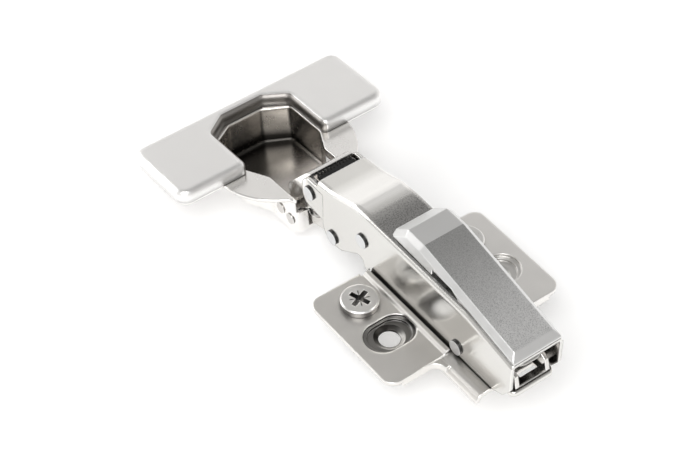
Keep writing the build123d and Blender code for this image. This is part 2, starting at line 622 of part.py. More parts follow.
def closing_spring(side):
    """Coil around the spring rivet, with a leg that bears under the arm's web."""
    helix = Helix(COIL_PITCH, COIL_PITCH * COIL_TURNS, COIL_MEAN_R)
    start = Plane(origin=(COIL_MEAN_R, 0, 0), z_dir=(0, 1, COIL_PITCH / (2 * pi * COIL_MEAN_R)))
    coil = sweep(start * RegularPolygon(WIRE_R, WIRE_SIDES), path=helix)
    stand = Location((PIVOT_C[0], 0, PIVOT_C[1])) * Rot(-90, 0, 0)
    coil = stand * Pos(0, 0, COIL_START_Y) * coil
    leg = Pos(PIVOT_C[0] + COIL_MEAN_R, COIL_START_Y, PIVOT_C[1] - LEG_DOWN) * extrude(
        RegularPolygon(WIRE_R, WIRE_SIDES), amount=LEG_UP + LEG_DOWN)
    spring = coil + leg
    return spring if side > 0 else mirror(spring, about=Plane.XZ)


def inner_base():
    floor_z = BRIDGE_TOP_Z + SEAT_GAP
    outer = block(BASE_X, (-BASE_HALF_Y, BASE_HALF_Y), (floor_z, BASE_WALL_TOP_Z))
    inner_y = BASE_HALF_Y - BASE_SHEET
    inner_z = (floor_z + BASE_SHEET, BASE_WALL_TOP_Z + 1)
    inner = block((BASE_X[0] - 1, BASE_X[1] + 1), (-inner_y, inner_y), inner_z)
    base = outer - inner
    base = base - block((BASE_X[0] - 1, HOOK_X[1] + 1.2), (-HOOK_HALF_Y - 1, HOOK_HALF_Y + 1), (0, 12))
    base = base - block((9.0, BASE_X[1] + 1), (-inner_y, inner_y), (0, floor_z + BASE_SHEET + 0.1))
    slope_top = BASE_WALL_TOP_Z + 1
    slope = [(10.0, slope_top), (BASE_X[1] + 1, slope_top), (BASE_X[1] + 1, 6.2), (17.5, 6.2)]
    base = base - side_body(slope, BASE_HALF_Y + 1)
    base = base - disc((BAR_X, BAR_Z), BAR_R + FIX_CLEAR, -9, 9)
    return base - disc(PIVOT_D, RIVET_R + FIX_CLEAR, -9, 9)


def front_hook_bar():
    return disc((BAR_X, BAR_Z), BAR_R, -BASE_HALF_Y - 0.1, BASE_HALF_Y + 0.1)


def latch_lever():
    """Folded lever on the rear rivet, with the lip that a finger lifts."""
    side = [(PIVOT_D[0] - 2.4, 3.6), (PIVOT_D[0] - 2.6, 6.2), (PIVOT_D[0] - 1.2, 7.4), (24.0, 8.2),
            (LEVER_REAR_X - 3.0, 9.6), (LEVER_REAR_X - 1.4, 8.6), (LEVER_REAR_X - 0.6, 5.4), (27.0, 4.4)]
    body = side_body(side, LEVER_HALF_Y)
    gap = [(5, 5.4), (26.8, 5.6), (34, 5.4), (34, 14), (5, 14)]
    body = body - side_body(gap, LEVER_HALF_Y - LEVER_SHEET)
    inside = LEVER_HALF_Y - LEVER_SHEET
    body = body - block((PIVOT_D[0] - 4, 19.0), (-inside, inside), (0, 12))
    lip = block((29.4, LEVER_REAR_X), (-LEVER_LIP_HALF_Y, LEVER_LIP_HALF_Y), (3.5, 4.9))
    lip = fillet(lip.edges().filter_by(Axis.Z).group_by(Axis.X)[-1], 1.6)
    lip = fillet([e for e in lip.edges() if e.center().Z > 4.85 and e.center().X > 30], 0.6)
    window = block((24.0, 30.2), (-2.0, 3.2), (2, 6.5))
    lever = body + lip - window
    hole = disc(PIVOT_D, RIVET_R + RUN_CLEAR, -9, 9)
    return lever - hole


def latch_spring():
    """Bent wire whose U-shaped end shows in the arm's open rear."""
    half = LATCH_LOOP_HALF_Y
    end = (PIVOT_D[0] - 0.3, PIVOT_D[1] + RIVET_R + LATCH_WIRE_R + SEAT_GAP)
    rear = (LATCH_LOOP_X, LATCH_LOOP_Z)
    near = (rear[0] - LATCH_BEND_R, rear[1] - 0.1)
    line = [(end[0], half, end[1]), (near[0] - 4.6, half, rear[1] - 0.7), (near[0], half, near[1]),
            (rear[0] - 0.4, half - 0.4, rear[1]), (rear[0], half - LATCH_BEND_R, rear[1])]
    line = line + [(x, -y, z) for x, y, z in reversed(line)]
    run = Vector(*line[1]) - Vector(*line[0])
    section = Plane(origin=line[0], z_dir=run) * RegularPolygon(LATCH_WIRE_R, WIRE_SIDES + 2)
    return sweep(section, path=Polyline(*line), transition=Transition.RIGHT)


def adjuster(x, top_z, bottom_z, head_r, head_h):
    """Short machine screw with a cross recess, standing on the arm's web."""
    head = upright(x, 0, top_z, top_z + head_h, head_r)
    head = chamfer(head.edges().group_by(Axis.Z)[-1], SCREW_RIM)
    screw = head + upright(x, 0, bottom_z, top_z, SCREW_R)
    for angle in (0, 90):
        slot = Pos(x, 0, top_z + head_h) * Rot(0, 0, angle) * Box(head_r, 0.8, head_h)
        screw = screw - slot
    return screw


def arm_cover_cap():
    low = 19.3
    rear_low = COVER_REAR_Z - 1.0
    front_x = COVER_TOP[0][0]
    outline = COVER_TOP + [(COVER_REAR_X, COVER_REAR_Z), (COVER_REAR_X, rear_low + 0.6),
                           (16.8, low), (front_x, low + 1.2)]
    outer = side_body(outline, COVER_HALF_Y)
    long_edges = [e for e in outer.edges()
                  if abs(abs(e.center().Y) - COVER_HALF_Y) < 0.01 and e.center().Z > 21.3
                  and e.center().X > -11.2]
    outer = chamfer(long_edges, COVER_BEVEL)
    inner_line = [(front_x + COVER_SHEET, COVER_TOP[0][1] - COVER_SHEET),
                  (COVER_TOP[1][0] + 0.3, COVER_TOP[1][1] - COVER_SHEET),
                  (COVER_TOP[2][0], COVER_TOP[2][1] - COVER_SHEET),
                  (COVER_TOP[3][0] - 0.4, COVER_TOP[3][1] - COVER_SHEET - 0.1),
                  (COVER_REAR_X - COVER_SHEET, COVER_REAR_Z), (COVER_REAR_X - COVER_SHEET, 10),
                  (front_x + COVER_SHEET, 10)]
    inner = side_body(inner_line, COVER_HALF_Y - COVER_SHEET)
    long_edges = [e for e in inner.edges()
                  if abs(abs(e.center().Y) - COVER_HALF_Y + COVER_SHEET) < 0.01 and e.center().Z > 20.6
                  and e.center().X > -10.2]
    inner = chamfer(long_edges, COVER_BEVEL - 0.3)
    cover = outer - inner
    notch = side_body([(3.5, 10), (13.0, 10), (13.0, low + 0.4), (10.6, low + 1.9), (3.5, low + 2.2)], 20)
    cover = cover - notch
    return cover


os.makedirs("parts", exist_ok=True)

arm_skin = ARM_HALF_Y
tip_skin = ARM_HALF_Y - ARM_JOGGLE

save("mounting_plate", mounting_plate())
save("euro_screws", Compound(children=[euro_screw(-1), euro_screw(1)]))
save("hinge_arm", hinge_arm())
save("arm_pivot_rivet", arm_rivet(PIVOT_A, tip_skin))
save("link_pivot_rivet", arm_rivet(PIVOT_B, arm_skin))
save("spring_rivet", arm_rivet(PIVOT_C, arm_skin))
save("latch_rivet", arm_rivet(PIVOT_D, arm_skin))
save("hinge_cup", hinge_cup())
save("cup_cover_cap", cup_cover_cap())
save("cup_pin_outer", cup_pin(PIN_P))
save("cup_pin_inner", cup_pin(PIN_Q))
save("outer_link", outer_link())
save("inner_link", inner_link())
save("damper_cylinder", damper_cylinder())
save("damper_rod", damper_rod())
save("damper_slider", damper_slider())
save("closing_springs", Compound(children=[closing_spring(-1), closing_spring(1)]))
save("inner_base", inner_base())
save("front_hook_bar", front_hook_bar())
save("latch_lever", latch_lever())
save("latch_spring", latch_spring())
save("side_screw", adjuster(SIDE_SCREW_X, WEB_SEAT_Z, 8.4, SCREW_HEAD_R, SCREW_HEAD_H))
save("depth_cam", adjuster(CAM_X, WEB_SEAT_Z, 11.5, CAM_HEAD_R, CAM_HEAD_H))
save("arm_cover_cap", arm_cover_cap())
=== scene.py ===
# %% [markdown]
# A concealed cup hinge is a good first lesson in metal. It has hardly any colour: what tells one
# piece from the next is how smooth its plating is, how fine its grain is and how bright its bent
# edges are. The shapes come finished from the CAD model, so this file is about finish, light and
# the few fine things that a CAD solid leaves out. Every place and length is in metres, in the
# model's own frame: X runs along the arm to its rear end, Y across it, and Z up from the plate.

# %% Load the hinge
from math import cos, pi, radians, sin
import bmesh
import bpy
from mathutils import Matrix, Vector


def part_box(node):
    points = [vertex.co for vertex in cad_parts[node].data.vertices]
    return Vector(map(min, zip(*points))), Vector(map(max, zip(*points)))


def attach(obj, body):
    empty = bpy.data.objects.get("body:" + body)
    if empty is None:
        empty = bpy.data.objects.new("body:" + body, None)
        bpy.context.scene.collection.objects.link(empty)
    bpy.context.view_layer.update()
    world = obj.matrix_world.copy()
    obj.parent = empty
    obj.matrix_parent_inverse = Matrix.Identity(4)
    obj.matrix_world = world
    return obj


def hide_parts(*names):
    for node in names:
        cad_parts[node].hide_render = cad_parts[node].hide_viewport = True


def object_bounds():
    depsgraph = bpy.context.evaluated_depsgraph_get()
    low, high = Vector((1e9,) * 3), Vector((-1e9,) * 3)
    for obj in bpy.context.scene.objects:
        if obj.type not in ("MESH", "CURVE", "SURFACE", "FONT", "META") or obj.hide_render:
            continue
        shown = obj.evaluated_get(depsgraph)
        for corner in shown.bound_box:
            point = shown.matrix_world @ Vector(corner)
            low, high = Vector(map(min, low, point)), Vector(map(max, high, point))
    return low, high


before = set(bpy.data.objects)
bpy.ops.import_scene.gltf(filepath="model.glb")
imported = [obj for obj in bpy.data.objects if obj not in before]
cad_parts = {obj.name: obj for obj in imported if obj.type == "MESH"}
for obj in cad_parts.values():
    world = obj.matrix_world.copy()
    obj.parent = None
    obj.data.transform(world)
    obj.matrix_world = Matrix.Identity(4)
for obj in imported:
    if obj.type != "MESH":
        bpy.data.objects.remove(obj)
cad_box = [list(corner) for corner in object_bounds()]
print("hinge box in metres:", cad_box)

# %% [markdown]
# The camera stands where the photograph was taken from. A long lens keeps the cup and the arm
# nearly parallel. Giving the camera its right, up and back directions as a matrix is surer than
# three angles, because nothing depends on the order in which the angles are applied.

# %% Camera
CAMERA_PLACE = (0.248406, -0.214115, 0.374219)
CAMERA_LOOK = (-0.54755, 0.41137, -0.72867)
LENS_MM = 108.0
SENSOR_MM = 36.0
NEAREST = 0.01
FARTHEST = 20.0


def add_object(name, data):
    """Put a mesh, a light or a camera in the scene as an object of its own."""
    thing = bpy.data.objects.new(name, data)
    bpy.context.collection.objects.link(thing)
    return thing


camera_data = bpy.data.cameras.new("studio_camera")
camera_data.lens = LENS_MM
camera_data.sensor_width = SENSOR_MM
camera_data.clip_start = NEAREST
camera_data.clip_end = FARTHEST
camera = add_object("studio_camera", camera_data)
look = Vector(CAMERA_LOOK).normalized()
right = look.cross(Vector((0, 0, 1))).normalized()
up = right.cross(look)
turn = Matrix((right, up, -look)).transposed().to_4x4()
camera.matrix_world = Matrix.Translation(CAMERA_PLACE) @ turn
bpy.context.scene.camera = camera
bpy.context.scene.view_settings.view_transform = "Standard"
print("camera looks along", [round(c, 3) for c in look])

# %% [markdown]
# The hinge lies on plain white. A wide pale floor just under the lowest screw tip gives a soft
# shadow and a white ground. A faint glow of its own, as on a light table, keeps the shadow thin.
# It is a stage piece: it is not part of the hinge.

# %% Floor
FLOOR_REACH = 3.0
FLOOR_GAP = 0.0004


def set_sockets(node, values):
    for socket, value in values.items():
        node.inputs[socket].default_value = value


def add_node(tree, kind, values=None, **settings):
    """Add a node to a shader, with its settings and the values of its sockets."""
    node = tree.nodes.new(kind)
    for setting, choice in settings.items():
        setattr(node, setting, choice)
    set_sockets(node, values or {})
    return node


def new_material(name):
    """A new material, with its tree and its Principled shader."""
    material = bpy.data.materials.new(name)
    material.use_nodes = True
    return material, material.node_tree, material.node_tree.nodes["Principled BSDF"]


floor_z = cad_box[0][2] - FLOOR_GAP
floor_signs = ((-1, -1), (1, -1), (1, 1), (-1, 1))
floor_corners = [(x * FLOOR_REACH, y * FLOOR_REACH, floor_z) for x, y in floor_signs]
floor_mesh = bpy.data.meshes.new("studio_floor")
floor_mesh.from_pydata(floor_corners, [], [(0, 1, 2, 3)])
floor = add_object("studio_floor", floor_mesh)
floor_paper, paper_tree, paper = new_material("white_paper")
set_sockets(paper, {"Roughness": 0.9, "Specular IOR Level": 0.1,
                    "Emission Color": (1, 1, 1, 1), "Emission Strength": 0.17})
fibre = add_node(paper_tree, "ShaderNodeTexNoise", {"Scale": 300.0})
fibre_tone = add_node(paper_tree, "ShaderNodeMapRange", {"To Min": 0.91, "To Max": 0.96})
paper_tree.links.new(fibre.outputs["Fac"], fibre_tone.inputs["Value"])
paper_tree.links.new(fibre_tone.outputs["Result"], paper.inputs["Base Color"])
floor_mesh.materials.append(floor_paper)
print("floor at", round(floor_z * 1000, 2), "mm")

# %% [markdown]
# Bright metal shows its surroundings, so the light is most of the picture. Seen from this camera a
# level face mirrors the sky behind the hinge, halfway up, while the upright sides mirror the
# floor. The photograph has white sides, a white crown on the arm and grey level tops, as between
# white walls and under a dark ceiling. A world that is bright low down and dark higher up gives
# the same bands. Its wall behind the hinge is the lightest, and the others are a third darker, so
# that the hinge keeps its modelling when it is seen from the other sides.

# %% Room
# Each band is the upward part of a direction, 0 level and 1 straight up, and how bright it is.
ROOM_BANDS = [(0.0, 0.75), (0.30, 0.97), (0.62, 0.85), (0.68, 0.34),
              (0.75, 0.44), (0.89, 0.50), (1.0, 0.15)]
ROOM_TINT = (1.0, 0.99, 0.975)
WALL_BEHIND = (-0.80, 0.60, 0.0)
OTHER_WALLS = 0.68


def feed(tree, node, *parts):
    """Give a node's sockets, in their order, what they get: a value or another node's socket."""
    for socket, part in zip(node.inputs, parts):
        if isinstance(part, bpy.types.NodeSocket):
            tree.links.new(part, socket)
        else:
            socket.default_value = part
    return node


def reckon_vector(tree, operation, *parts):
    """One step of arithmetic on vectors, as its two outputs Vector and Value."""
    return feed(tree, add_node(tree, "ShaderNodeVectorMath", operation=operation), *parts).outputs


world = bpy.data.worlds.new("white_walled_room")
bpy.context.scene.world = world
world.use_nodes = True
room = world.node_tree
room.nodes.clear()
room_out = add_node(room, "ShaderNodeOutputWorld")
room_light = add_node(room, "ShaderNodeBackground")
room_ramp = add_node(room, "ShaderNodeValToRGB")
room_split = add_node(room, "ShaderNodeSeparateXYZ")
direction = add_node(room, "ShaderNodeTexCoord").outputs["Generated"]
room.links.new(direction, room_split.inputs["Vector"])
room.links.new(room_split.outputs["Z"], room_ramp.inputs["Fac"])
room.links.new(room_ramp.outputs["Color"], room_light.inputs["Color"])
room.links.new(room_light.outputs["Background"], room_out.inputs["Surface"])
bands = room_ramp.color_ramp
bands.interpolation = "EASE"
for height, _ in ROOM_BANDS[1:-1]:
    bands.elements.new(height)
for band, (_, level) in zip(bands.elements, ROOM_BANDS):
    band.color = (*(level * part for part in ROOM_TINT), 1)
wall_share = reckon_vector(room, "DOT_PRODUCT", direction, WALL_BEHIND)["Value"]
room_strength = add_node(room, "ShaderNodeMapRange",
                         {"From Min": -0.15, "From Max": 0.40, "To Min": OTHER_WALLS, "To Max": 1.0})
room.links.new(wall_share, room_strength.inputs["Value"])
room.links.new(room_strength.outputs["Result"], room_light.inputs["Strength"])
print("room bands:", len(bands.elements))

# %% [markdown]
# The soft boxes stand where their own mirror images miss the hinge's level faces: one high behind
# the camera, one low at the left. They make the floor white and put a soft gleam on the bends.


# %% Soft boxes
def soft_box(name, place, target, width, height, watts):
    data = bpy.data.lights.new(name, "AREA")
    data.shape = "RECTANGLE"
    data.size = width
    data.size_y = height
    data.energy = watts
    box = add_object(name, data)
    box.visible_camera = False
    box.location = place
    box.rotation_euler = (Vector(target) - Vector(place)).to_track_quat("-Z", "Y").to_euler()


soft_box("high_box", place=(0.45, -0.55, 0.95), target=(0, 0, 0), width=0.8, height=0.8, watts=10.5)
soft_box("left_box", place=(-0.75, -0.45, 0.40), target=(0, 0, 0.01), width=0.6, height=0.4, watts=2.0)

# %% [markdown]
# Nickel plating is never one even colour. It lies over rolled sheet, so it is a touch warmer in
# some places than in others. One small node group makes that drift of tone and is used by every
# metal here, each with its own two colours.

# %% Shared effect: drift of tone in the plating
COLOR = "NodeSocketColor"
FLOAT = "NodeSocketFloat"
VECTOR = "NodeSocketVector"


def new_group(name, inputs, outputs):
    """A group of nodes with named sockets, and its own input and output nodes."""
    group = bpy.data.node_groups.new(name, "ShaderNodeTree")
    for label, kind, value in inputs:
        socket = group.interface.new_socket(label, in_out="INPUT", socket_type=kind)
        socket.default_value = value
    for label, kind in outputs:
        group.interface.new_socket(label, in_out="OUTPUT", socket_type=kind)
    return group, add_node(group, "NodeGroupInput"), add_node(group, "NodeGroupOutput")


tone_group, tone_in, tone_out = new_group(
    "plating_tone",
    [("Cool", COLOR, (0.8, 0.8, 0.8, 1)), ("Warm", COLOR, (0.7, 0.68, 0.65, 1)), ("Scale", FLOAT, 60.0)],
    [("Color", COLOR)])
tone_place = add_node(tone_group, "ShaderNodeTexCoord")
tone_cloud = add_node(tone_group, "ShaderNodeTexNoise", {"Detail": 4.0, "Roughness": 0.55})
tone_mix = add_node(tone_group, "ShaderNodeMix", data_type="RGBA")
tone_group.links.new(tone_place.outputs["Object"], tone_cloud.inputs["Vector"])
tone_group.links.new(tone_in.outputs["Scale"], tone_cloud.inputs["Scale"])
tone_group.links.new(tone_cloud.outputs["Fac"], tone_mix.inputs["Factor"])
tone_group.links.new(tone_in.outputs["Cool"], tone_mix.inputs["A"])
tone_group.links.new(tone_in.outputs["Warm"], tone_mix.inputs["B"])
tone_group.links.new(tone_mix.outputs["Result"], tone_out.inputs["Color"])
print("group", tone_group.name, "has", len(tone_group.nodes), "nodes")

# %% [markdown]
# The matt top of the arm cover and the wings of the plate have a fine even grain, while a drawn
# pin has long faint lines. Both are the same noise, squeezed along one direction or not, so one
# group serves both. It gives a height for the bump, and a roughness that also follows a coarser
# noise, so that no face is evenly bright.


# %% Shared effect: grain of the sheet
def reckon(tree, operation, *parts, **settings):
    """One step of arithmetic on numbers."""
    step = add_node(tree, "ShaderNodeMath", operation=operation, **settings)
    return feed(tree, step, *parts).outputs["Value"]


grain_group, grain_in, grain_out = new_group(
    "sheet_grain",
    [("Scale", FLOAT, 4000.0), ("Stretch", VECTOR, (1.0, 1.0, 1.0)),
     ("Smooth", FLOAT, 0.2), ("Rough", FLOAT, 0.35)],
    [("Height", FLOAT), ("Roughness", FLOAT)])
grain_place = add_node(grain_group, "ShaderNodeTexCoord").outputs["Object"]
grain_noise = add_node(grain_group, "ShaderNodeTexNoise", {"Detail": 3.0, "Roughness": 0.6})
grain_blot = add_node(grain_group, "ShaderNodeTexNoise", {"Scale": 220.0, "Detail": 3.0})
grain_range = add_node(grain_group, "ShaderNodeMapRange", {"From Min": 0.3, "From Max": 0.7}, clamp=True)
squeezed = reckon_vector(grain_group, "MULTIPLY", grain_place, grain_in.outputs["Stretch"])["Vector"]
both_noises = reckon(grain_group, "ADD", grain_noise.outputs["Fac"], grain_blot.outputs["Fac"])
grain_group.links.new(squeezed, grain_noise.inputs["Vector"])
grain_group.links.new(grain_in.outputs["Scale"], grain_noise.inputs["Scale"])
grain_group.links.new(grain_place, grain_blot.inputs["Vector"])
grain_group.links.new(reckon(grain_group, "MULTIPLY", both_noises, 0.5), grain_range.inputs["Value"])
grain_group.links.new(grain_in.outputs["Smooth"], grain_range.inputs["To Min"])
grain_group.links.new(grain_in.outputs["Rough"], grain_range.inputs["To Max"])
grain_group.links.new(grain_range.outputs["Result"], grain_out.inputs["Roughness"])
grain_group.links.new(grain_noise.outputs["Fac"], grain_out.inputs["Height"])
print("group", grain_group.name, "has", len(grain_group.nodes), "nodes")

# %% [markdown]
# Barrel plating rubs every edge bright. The Bevel node gives the normal that the surface would
# have with its edges rounded off. Where that differs from the true normal there is an edge, so
# one minus the product of the two is a mask of the edges.

# %% Shared effect: rubbed edges
RAYS = 8

edge_group, edge_in, edge_out = new_group(
    "rubbed_edge", [("Width", FLOAT, 0.0004), ("Gain", FLOAT, 6.0)], [("Mask", FLOAT)])
edge_round = add_node(edge_group, "ShaderNodeBevel", samples=RAYS)
edge_true = add_node(edge_group, "ShaderNodeNewGeometry")
edge_group.links.new(edge_in.outputs["Width"], edge_round.inputs["Radius"])
alike = reckon_vector(edge_group, "DOT_PRODUCT",
                      edge_round.outputs["Normal"], edge_true.outputs["Normal"])
unlike = reckon(edge_group, "SUBTRACT", 1.0, alike["Value"], use_clamp=True)
edge_gain = reckon(edge_group, "MULTIPLY", unlike, edge_in.outputs["Gain"], use_clamp=True)
edge_group.links.new(edge_gain, edge_out.inputs["Mask"])
print("group", edge_group.name, "has", len(edge_group.nodes), "nodes")

# %% [markdown]
# Screw slots, the steps of the dished holes and the gaps between the pieces get painted shade: their
# colour is darkened where they are closed in. The Ambient Occlusion node says how open a point is
# within a few millimetres, so it finds all of these corners at once.

# %% Shared effect: painted shade in corners
corner_group, corner_in, corner_out = new_group(
    "painted_corner_shade", [("Reach", FLOAT, 0.0015), ("Open", FLOAT, 0.75)], [("Mask", FLOAT)])
corner_open = add_node(corner_group, "ShaderNodeAmbientOcclusion", samples=RAYS)
corner_range = add_node(corner_group, "ShaderNodeMapRange",
                        {"From Min": 0.1, "To Min": 1.0, "To Max": 0.0}, clamp=True)
corner_group.links.new(corner_in.outputs["Reach"], corner_open.inputs["Distance"])
corner_group.links.new(corner_open.outputs["AO"], corner_range.inputs["Value"])
corner_group.links.new(corner_in.outputs["Open"], corner_range.inputs["From Max"])
corner_group.links.new(corner_range.outputs["Result"], corner_out.inputs["Mask"])
print("group", corner_group.name, "has", len(corner_group.nodes), "nodes")

# %% [markdown]
# Light that goes into a hollow bounces several times before it comes out, and nickel swallows two
# fifths of it at each bounce, so the inside of the cup is given painted shade, much darker than its
# flange. A wall that faces a point in the middle of the hollow is inside, and any other is outside.
# So the sign of one dot product tells them apart, and moves with the piece.

# %% Shared effect: painted shade inside a hollow
inside_group, inside_in, inside_out = new_group(
    "inside_hollow", [("Middle", VECTOR, (0.0, 0.0, 0.0)), ("Soft", FLOAT, 0.001)], [("Mask", FLOAT)])
inside_place = add_node(inside_group, "ShaderNodeTexCoord")
inside_step = add_node(inside_group, "ShaderNodeMapRange", clamp=True)
to_middle = reckon_vector(inside_group, "SUBTRACT",
                          inside_in.outputs["Middle"], inside_place.outputs["Object"])["Vector"]
turned_in = reckon_vector(inside_group, "DOT_PRODUCT", to_middle, inside_place.outputs["Normal"])["Value"]
inside_group.links.new(turned_in, inside_step.inputs["Value"])
inside_group.links.new(inside_in.outputs["Soft"], inside_step.inputs["From Max"])
inside_group.links.new(inside_step.outputs["Result"], inside_out.inputs["Mask"])
print("group", inside_group.name, "has", len(inside_group.nodes), "nodes")

# %% [markdown]
# Every plated finish is built in the same order: tone, then rubbed edges, painted shade in
# corners, and grain over softly rounded bends. Pressed sheet has no sharp bend, so a second Bevel
# node rounds the normal under the grain, and a thin line of sky or floor shows along each bend.
# What changes from piece to piece are the two tones, how smooth the plating is, how deep the grain
# goes and how round the bends are, so those are the arguments of one small maker's function.

# %% The plated finish
GRAIN_HEIGHT = 0.0001


def use_group(tree, group, values, **settings):
    return add_node(tree, "ShaderNodeGroup", values, node_tree=group, **settings)


def tint(finish, mask, colour):
    """Lay one more colour over a finish where the mask is one."""
    tree = finish.node_tree
    base_colour = tree.nodes["Principled BSDF"].inputs["Base Color"]
    before = base_colour.links[0].from_socket
    shade = add_node(tree, "ShaderNodeMix", data_type="RGBA")
    shade.inputs["B"].default_value = (*colour, 1)
    tree.links.new(mask, shade.inputs["Factor"])
    tree.links.new(before, shade.inputs["A"])
    tree.links.new(shade.outputs["Result"], base_colour)


def raise_grain(tree, shader, sheet, depth):
    """Let the grain set the roughness and stand up as a bump."""
    bump = add_node(tree, "ShaderNodeBump", {"Distance": GRAIN_HEIGHT, "Strength": depth})
    tree.links.new(sheet.outputs["Roughness"], shader.inputs["Roughness"])
    tree.links.new(sheet.outputs["Height"], bump.inputs["Height"])
    tree.links.new(bump.outputs["Normal"], shader.inputs["Normal"])
    return bump


def plated(name, cool, warm, smooth, rough, grain, stretch=(1.0, 1.0, 1.0), depth=0.02,
           edge=(0.95, 0.94, 0.92), edge_gain=5.0, corner=(0.16, 0.15, 0.14), reach=0.0015, bend=0.0004):
    """Nickel between two tones; the last two values are lengths in metres."""
    finish, tree, steel = new_material(name)
    steel.inputs["Metallic"].default_value = 1.0
    tone = use_group(tree, tone_group, {"Cool": (*cool, 1), "Warm": (*warm, 1)})
    sheet_values = {"Scale": grain, "Stretch": stretch, "Smooth": smooth, "Rough": rough}
    sheet = use_group(tree, grain_group, sheet_values, name="sheet")
    rubbed = use_group(tree, edge_group, {"Gain": edge_gain})
    corner_shade = use_group(tree, corner_group, {"Reach": reach})
    tree.links.new(tone.outputs["Color"], steel.inputs["Base Color"])
    tint(finish, rubbed.outputs["Mask"], edge)
    # Painted shade: the corner colour is laid where the Ambient Occlusion node finds the surface closed
    # in.
    tint(finish, corner_shade.outputs["Mask"], corner)
    bump = raise_grain(tree, steel, sheet, depth)
    rounded = add_node(tree, "ShaderNodeBevel", {"Radius": bend}, samples=RAYS, name="rounded")
    tree.links.new(rounded.outputs["Normal"], bump.inputs["Normal"])
    return finish


plating_steps = (tone_group, edge_group, corner_group, grain_group)
print("a plated finish uses", [group.name for group in plating_steps])

# %% [markdown]
# Few pieces of the hinge are one even tone all over, in their own colour or in painted light and
# shade, and the parts that differ can be told by where they are and which way they face. A soft
# band of either one is a mask, and the product of two masks is where both hold. Painting them by
# hand would also work, but such a rule stays right when the model behind it changes a little.

# %% Masks from place and facing
FULL_TO_NONE = (1.0, 0.0)


def paint_inside_shade(finish, middle, inner, soft=0.001):
    """Paint shade on the walls that face the middle of a hollow, and give their mask."""
    hollow = use_group(finish.node_tree, inside_group, {"Middle": middle, "Soft": soft})
    tint(finish, hollow.outputs["Mask"], inner)
    return hollow.outputs["Mask"]


def band_mask(tree, socket, span, ends=(0.0, 1.0)):
    """Go softly from one end value to the other, over a span of what the socket gives."""
    values = {"From Min": span[0], "From Max": span[1], "To Min": ends[0], "To Max": ends[1]}
    step = add_node(tree, "ShaderNodeMapRange", values, clamp=True, interpolation_type="SMOOTHSTEP")
    tree.links.new(socket, step.inputs["Value"])
    return step.outputs["Result"]


def product(tree, first, second):
    return reckon(tree, "MULTIPLY", first, second)


def place_and_facing(tree):
    """The surface's own place in metres and its facing from -1 to 1, each split in three."""
    coords = add_node(tree, "ShaderNodeTexCoord")
    place = add_node(tree, "ShaderNodeSeparateXYZ")
    facing = add_node(tree, "ShaderNodeSeparateXYZ")
    tree.links.new(coords.outputs["Object"], place.inputs["Vector"])
    tree.links.new(coords.outputs["Normal"], facing.inputs["Vector"])
    return place.outputs, facing.outputs


def grain_tops(finish, span, ends=(0.0, 1.0)):
    """The grains of the sheet that stand above a level."""
    return band_mask(finish.node_tree, finish.node_tree.nodes["sheet"].outputs["Height"], span, ends)


print("places along X go from", round(cad_box[0][0], 4), "to", round(cad_box[1][0], 4))

# %% [markdown]
# A finish is put on by the names of its nodes. Each node keeps the mesh that came from the CAD
# model, and only its material changes, so one finish can serve several pieces.


# %% Dressing the nodes
def dress(finish, *nodes):
    """Put one finish on every material slot of the named nodes."""
    for node in nodes:
        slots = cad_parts[node].data.materials
        if len(slots) == 0:
            slots.append(finish)
        for index in range(len(slots)):
            slots[index] = finish
    print(finish.name, "on", ", ".join(nodes))


print("the nodes to dress:", len(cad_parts))

# %% [markdown]
# The cup's cover cap is the brightest sheet of all, polished before plating, with the widest
# bends. The wall of its opening gets painted shade, because it faces the hollow of the cup.

# %% Cap finish
CAP_MIDDLE = (-0.0665, 0.0, -0.001)

cap_finish = plated("cap_polish", cool=(0.97, 0.965, 0.955), warm=(0.92, 0.91, 0.90), smooth=0.3,
                    rough=0.38, grain=180.0, depth=0.01, edge=(0.99, 0.99, 0.98), edge_gain=1.0,
                    bend=0.0022)
paint_inside_shade(cap_finish, CAP_MIDDLE, (0.34, 0.324, 0.308))
dress(cap_finish, "cup_cover_cap")

# %% [markdown]
# The cup under the cap is drawn deep from flat sheet, and its inside gets painted shade, darker and
# warmer than the flange. The far end of the pocket's floor gets a darker painted shade, and the
# wall above it a lighter painted reflection. Both are tints that count only inside the pocket. Its
# drawn corners are rounder than the flange's, so the radius of the bends follows the same mask.

# %% Cup finish
CUP_MIDDLE = (-0.0665, 0.0, -0.0015)
FAR_END_X = (-0.0730, -0.0600)
FLOOR_Z = (-0.0090, -0.0070)
ABOVE_FLOOR_Z = (-0.0075, -0.0060)
FACES_THE_ARM = (0.60, 0.95)
BENDS_OUTSIDE_AND_IN = (0.0006, 0.0014)

cup_finish = plated("cup_drawn", cool=(0.97, 0.96, 0.94), warm=(0.90, 0.88, 0.86), smooth=0.2,
                    rough=0.3, grain=260.0)
pocket = paint_inside_shade(cup_finish, CUP_MIDDLE, (0.52, 0.496, 0.472))
cup_tree = cup_finish.node_tree
place, facing = place_and_facing(cup_tree)
far_floor = product(cup_tree, band_mask(cup_tree, place["X"], FAR_END_X, FULL_TO_NONE),
                    band_mask(cup_tree, place["Z"], FLOOR_Z, FULL_TO_NONE))
far_wall = product(cup_tree, band_mask(cup_tree, facing["X"], FACES_THE_ARM),
                   band_mask(cup_tree, place["Z"], ABOVE_FLOOR_Z))
bend_radius = band_mask(cup_tree, pocket, (0.0, 1.0), BENDS_OUTSIDE_AND_IN)
cup_tree.links.new(bend_radius, cup_tree.nodes["rounded"].inputs["Radius"])
# Painted shade on the far floor of the pocket, and a painted reflection on the wall above it.
tint(cup_finish, product(cup_tree, pocket, far_floor), (0.055, 0.052, 0.048))
tint(cup_finish, product(cup_tree, pocket, far_wall), (0.90, 0.86, 0.80))
dress(cup_finish, "hinge_cup")
